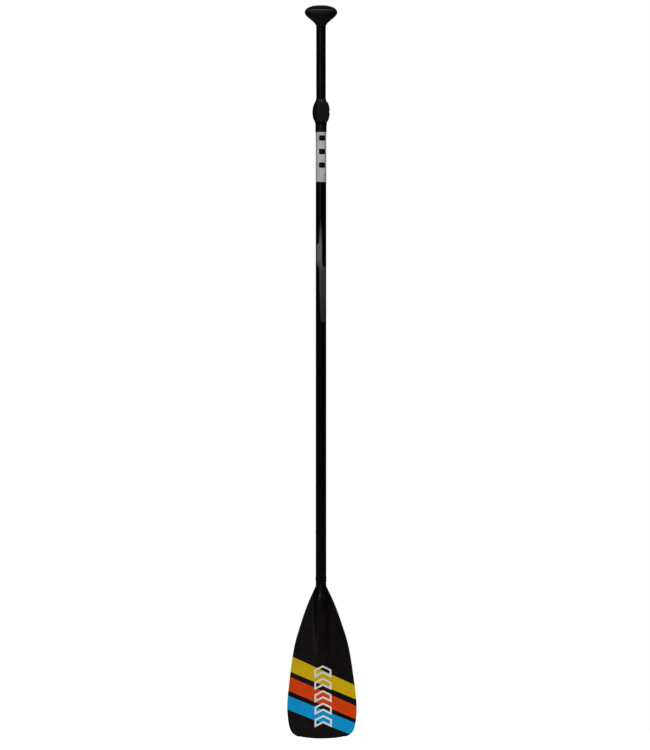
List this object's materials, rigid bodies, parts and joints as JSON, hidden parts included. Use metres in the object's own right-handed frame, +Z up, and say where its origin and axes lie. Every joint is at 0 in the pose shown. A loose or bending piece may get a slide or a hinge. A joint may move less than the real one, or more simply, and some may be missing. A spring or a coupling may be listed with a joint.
{
  "type": "single blade paddle",
  "caption": "Adjustable stand-up paddle: a palm grip on a sliding upper tube, held by a cam lever clamp on a long round shaft, and a flat teardrop blade canted forward.",
  "frame": {"origin": "on the shaft's axis where a rack or deck clip holds it, 1.0 m above the blade's tip", "axes": "+Z up the shaft to the grip, -Y out of the printed front of the blade, +X to the right of someone looking at that front"},
  "size_m": [0.1938, 0.0981, 2.0507],
  "materials": {
    "gloss_black": "clear-coated black laminate",
    "blade_black": "gloss black with printed colour bands",
    "moulded_black": "fine-textured moulded nylon",
    "soft_black": "soft-touch rubber",
    "seal_black": "smooth rubber",
    "bush_grey": "low-friction acetal",
    "band_white": "printed film",
    "steel": "stainless steel",
    "foam": "closed-cell foam",
    "core_foam": "closed-cell core foam"
  },
  "bodies": {
    "shaft": {"clamp_collar": "moulded_black", "collar_liner": "bush_grey", "barrel_pin": "steel", "clamp_screw": "steel", "screw_washer": "steel", "cam_saddle": "steel", "main_shaft": "gloss_black", "shaft_band": "band_white", "shaft_bulkhead": "foam", "lower_foam": "foam", "neck_ring": "seal_black", "blade_insert": "moulded_black", "blade_core": "core_foam", "blade_front_skin": "blade_black", "blade_back_skin": "blade_black", "blade_rim": "blade_black"},
    "handle": {"grip_body": "moulded_black", "grip_pad": "soft_black", "grip_ring": "seal_black", "extension_tube": "gloss_black", "extension_foam": "foam", "tube_end_ferrule": "bush_grey", "ferrule_seal": "seal_black"},
    "lever": {"clamp_lever": "moulded_black"}
  },
  "joints": [
    {"name": "length_slide", "type": "slide", "parent": "shaft", "child": "handle", "axis": [0, 0, 1], "range_m": [-0.19, 0.13]},
    {"name": "lever_hinge", "type": "hinge", "parent": "shaft", "child": "lever", "pos_m": [0.0182, -0.0149, 0.75], "axis": [0, 0, 1], "range_deg": [0, 125]}
  ]
}
